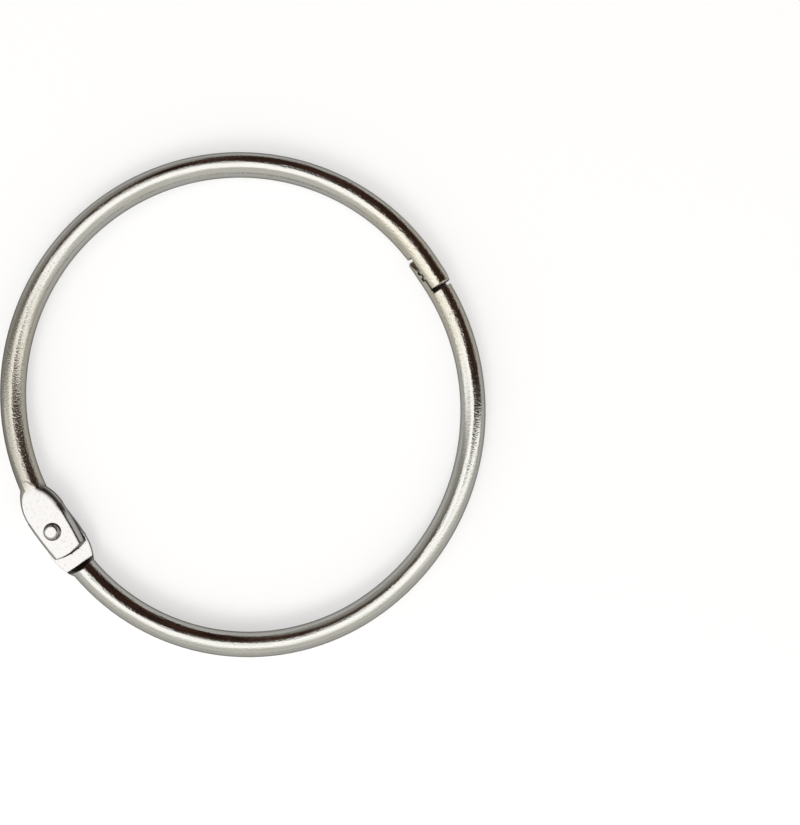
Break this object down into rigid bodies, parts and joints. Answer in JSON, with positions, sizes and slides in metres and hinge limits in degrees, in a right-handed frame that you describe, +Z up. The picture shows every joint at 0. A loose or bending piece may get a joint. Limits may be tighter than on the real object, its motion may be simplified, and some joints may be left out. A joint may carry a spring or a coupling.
{
  "type": "binder ring",
  "caption": "Hinged loose-leaf binder ring, closed: half rings of round nickel-plated wire, riveted at one end and meeting in a toothed snap lap.",
  "frame": {"origin": "centre of the bounding box in plan, at the level of the surface the closed ring lies on", "axes": "+Z up along the hinge rivet, +X from the hinge to the catch, +Y towards the upper half ring"},
  "size_m": [0.0811, 0.0838, 0.0061],
  "materials": {
    "nickel_plate": "bright nickel plate over drawn steel wire, with fine drawing lines and pressed hinge faces"
  },
  "bodies": {
    "lower_half": {"lower_half_ring": "nickel_plate", "hinge_rivet": "nickel_plate"},
    "upper_half": {"upper_half_ring": "nickel_plate"}
  },
  "joints": [
    {"name": "hinge", "type": "hinge", "parent": "lower_half", "child": "upper_half", "pos_m": [-0.03755, -0.00015, 0.0033], "axis": [0, 0, 1], "range_deg": [0, 144]}
  ]
}
